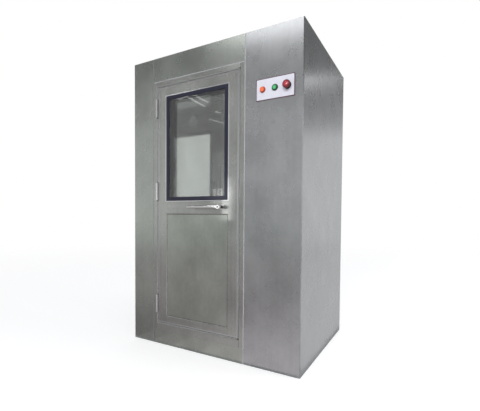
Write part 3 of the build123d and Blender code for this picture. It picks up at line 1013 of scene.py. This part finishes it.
# The pilot lamp: an orange plastic lens with moulded ribs and a domed front, in a darker orange
# bezel that rests on the plate.
def moulded_plastic(name, colour, roughness, glow=0.0, rim=None, coat=0.4):
    """Coloured plastic with a slight orange-peel skin, and a lit look where the real one is lit.
    A rim is (centre, inner radius, outer radius, colour): the colour turns to that one between the two radii."""
    material = fine_grained(
        name, (420.0, 2.0, 0.5), [part * 0.9 for part in colour], colour,
        (roughness - 0.03, roughness + 0.05), (0.2, 0.0001),
        {
            "Coat Weight": coat, "Coat Roughness": 0.08,
            "Emission Color": (*colour, 1), "Emission Strength": glow,
        },
    )
    if rim:
        tree = material.node_tree
        surface = tree.nodes["Principled BSDF"]
        base_colour = surface.inputs["Base Color"]
        centre, inner, outer, rim_colour = rim
        offset = node(tree, "ShaderNodeVectorMath", {1: centre}, operation="SUBTRACT")
        flat = node(tree, "ShaderNodeVectorMath", {1: (1, 0, 1)}, operation="MULTIPLY")
        radius = node(tree, "ShaderNodeVectorMath", operation="LENGTH")
        deepen = node(tree, "ShaderNodeMix", {"B": (*rim_colour, 1)}, data_type="RGBA")
        linked(
            tree,
            (object_coordinates(tree), offset.inputs[0]),
            (offset.outputs[0], flat.inputs[0]),
            (flat.outputs[0], radius.inputs[0]),
            (ramped(tree, radius.outputs["Value"], 0.0, 1.0, inner, outer), deepen.inputs["Factor"]),
            (base_colour.links[0].from_socket, deepen.inputs["A"]),
            (deepen.outputs["Result"], base_colour),
            (deepen.outputs["Result"], surface.inputs["Emission Color"]),
        )
    return material


def control_size(name):
    """A control's middle on the face of the plate, its radius, and the heights where it starts
    and ends above that face."""
    low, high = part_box(name)
    middle = Vector(((low.x + high.x) / 2, plate_face, (low.z + high.z) / 2))
    return middle, (high.x - low.x) / 2, plate_face - high.y, plate_face - low.y


def control_piece(name, profile, centre, material, body, steps=48):
    """A round piece of a control, turned about a line square to the plate."""
    return finished(name, [turned_mesh(profile, centre, out_of_plate, steps)], material, body)


out_of_plate = (0, -1, 0)
lamp_centre, lamp_radius = control_size("pilot_lamp")[:2]
lens_orange = moulded_plastic(
    "lens_orange", (0.92, 0.17, 0.06), 0.22, glow=0.16,
    rim=(lamp_centre, 0.55 * lamp_radius, 0.85 * lamp_radius, (0.42, 0.05, 0.02)),
)
bezel_width = 0.0028
lens_play = 0.0002
lens_radius = lamp_radius - bezel_width
lens_height = 0.0140
bezel_inside = lens_radius + lens_play
lamp_bezel = [
    (bezel_inside, 0.0), (lamp_radius, 0.0), (lamp_radius, 0.0032), (lamp_radius - 0.0008, 0.0046),
    (bezel_inside + 0.0006, 0.0050), (bezel_inside, 0.0046), (bezel_inside, 0.0),
]
bezel_orange = moulded_plastic("bezel_orange", (0.40, 0.045, 0.022), 0.40)
control_piece("pilot_lamp_bezel", lamp_bezel, lamp_centre, bezel_orange, "cabinet")
lens_ribs = 24
rib_depth = 0.018
lens_edge = 0.0035
lens_profile = [(0.0, 0.0), (lens_radius, 0.0), (lens_radius, lens_height - lens_edge)]
lens_profile += [
    (lens_radius - lens_edge + lens_edge * math.cos(a), lens_height - lens_edge + 0.0030 * math.sin(a))
    for a in turns(math.pi / 2, 4)[1:]
]
lens_profile += [(0.004, lens_height), (0.0, lens_height)]
lens_mesh = turned_mesh(lens_profile, lamp_centre, out_of_plate, 4 * lens_ribs)
for vertex in lens_mesh.vertices:
    offset = vertex.co - lamp_centre
    angle = math.atan2(offset.z, offset.x)
    if math.hypot(offset.x, offset.z) > 0.9 * lens_radius:
        shrink = 1 - rib_depth * (1 - math.cos(lens_ribs * angle))
        vertex.co.x = lamp_centre.x + offset.x * shrink
        vertex.co.z = lamp_centre.z + offset.z * shrink
lens = finished("pilot_lamp_lens", [lens_mesh], lens_orange, "cabinet")
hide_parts("pilot_lamp")


# The start button: a green plastic cap, slightly dished, that slides in a dark green collar. A
# chromed washer lies round the collar, flat on the plate.
bezel_chrome = bright_chrome("bezel_chrome", (0.66, 0.66, 0.67), 0.12)
collar_green = moulded_plastic("collar_green", (0.004, 0.060, 0.022), 0.5, coat=0.1)
start_centre, start_radius, start_base, start_top = control_size("start_button")
cap_green = moulded_plastic(
    "cap_green", (0.08, 0.56, 0.20), 0.25, glow=0.06,
    rim=(start_centre, 0.45 * start_radius, 0.96 * start_radius, (0.012, 0.14, 0.045)),
)
start_profile = [
    (0.0, start_base), (start_radius, start_base), (start_radius, start_top - 0.0015),
    (start_radius - 0.0005, start_top - 0.0004), (start_radius - 0.0018, start_top),
    (start_radius - 0.0035, start_top - 0.0003), (start_radius * 0.4, start_top - 0.0008),
    (0.0, start_top - 0.0009),
]
cap = control_piece(
    "start_button_cap", start_profile, start_centre, cap_green, "start_button"
)
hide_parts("start_button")
_, bezel_radius, _, bezel_top = control_size("start_button_bezel")
cap_play = 0.0004
washer_width = 0.0022
washer_height = 0.0030
ring_inside = start_radius + cap_play
ring_outside = bezel_radius - washer_width
washer_profile = [
    (ring_outside, 0.0), (bezel_radius, 0.0), (bezel_radius, washer_height - 0.0008),
    (bezel_radius - 0.0008, washer_height), (ring_outside, washer_height), (ring_outside, 0.0),
]
ring_profile = [
    (ring_inside, 0.0), (ring_outside, 0.0), (ring_outside, bezel_top - 0.0018),
    (ring_outside - 0.0006, bezel_top - 0.0005), (ring_outside - 0.0016, bezel_top),
    (ring_inside + 0.0006, bezel_top - 0.0003), (ring_inside, bezel_top - 0.0012), (ring_inside, 0.0),
]
ring = control_piece(
    "start_button_ring", ring_profile, start_centre, collar_green, "cabinet"
)
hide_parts("start_button_bezel")
control_piece(
    "start_button_washer", washer_profile, start_centre, bezel_chrome, "cabinet"
)


# The stop button: a red mushroom head with a smooth dome, moulded in one with its stem, over a
# black grooved collar. A small lamp of its own puts the highlight on the dome.
collar_black = moulded_plastic("collar_black", (0.005, 0.005, 0.006), 0.7, coat=0.0)
stop_centre, stop_radius, stem_base, stop_top = control_size("stop_button")
# The dome darkens towards its edge: painted shade, where the dome turns away from the light.
head_red = moulded_plastic(
    "head_red", (0.44, 0.018, 0.038), 0.36,
    rim=(stop_centre, 0.40 * stop_radius, 0.95 * stop_radius, (0.10, 0.003, 0.009)),
)
stem_radius = 0.008
head_height = 0.016
rim_height = 0.006
head_base = stop_top - head_height
dome_base = head_base + rim_height
dome_rise = stop_top - dome_base
head_profile = [
    (0.0, stem_base), (stem_radius, stem_base), (stem_radius, head_base), (stop_radius - 0.0015, head_base),
    (stop_radius, head_base + 0.0015), (stop_radius, dome_base),
]
head_profile += [
    (stop_radius * math.cos(a), dome_base + dome_rise * math.sin(a))
    for a in (math.radians(d) for d in (12, 24, 36, 48, 60, 72, 82))
]
head_profile += [(0.0, stop_top)]
head = control_piece("stop_button_head", head_profile, stop_centre, head_red, "stop_button", 64)
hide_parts("stop_button")
control_lamp = soft_lamp("control_lamp", (0.3, -3.0, 2.35), stop_centre, 0.6, 28)
control_lamp.visible_glossy = True
control_lamp.visible_diffuse = False
lit_controls = bpy.data.collections.new("lit_controls")
lit_controls.objects.link(head)
control_lamp.light_linking.receiver_collection = lit_controls
_, base_radius, _, base_top = control_size("stop_button_collar")
stem_hole = stem_radius + 0.0004
waist_radius = base_radius - 0.0018
lip_radius = base_radius - 0.0006
collar_profile = [
    (stem_hole, 0.0), (base_radius, 0.0), (base_radius, 0.0035), (waist_radius, 0.0045),
    (waist_radius, base_top - 0.0045), (lip_radius, base_top - 0.0035), (lip_radius, base_top - 0.0008),
    (base_radius - 0.0014, base_top), (stem_hole, base_top), (stem_hole, 0.0),
]
collar = control_piece(
    "stop_button_base", collar_profile, stop_centre, collar_black, "cabinet", 64
)
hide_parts("stop_button_collar")

# Round pieces are shaded smooth, except at their real edges.
sharpest_smooth_bend = math.radians(38)
smooth_kinds = ("button", "lamp", "lever", "caps", "gasket")
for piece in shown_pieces():
    if "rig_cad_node" not in piece and any(kind in piece.name for kind in smooth_kinds):
        piece.data.shade_smooth()
        piece.data.set_sharp_from_angle(angle=sharpest_smooth_bend)
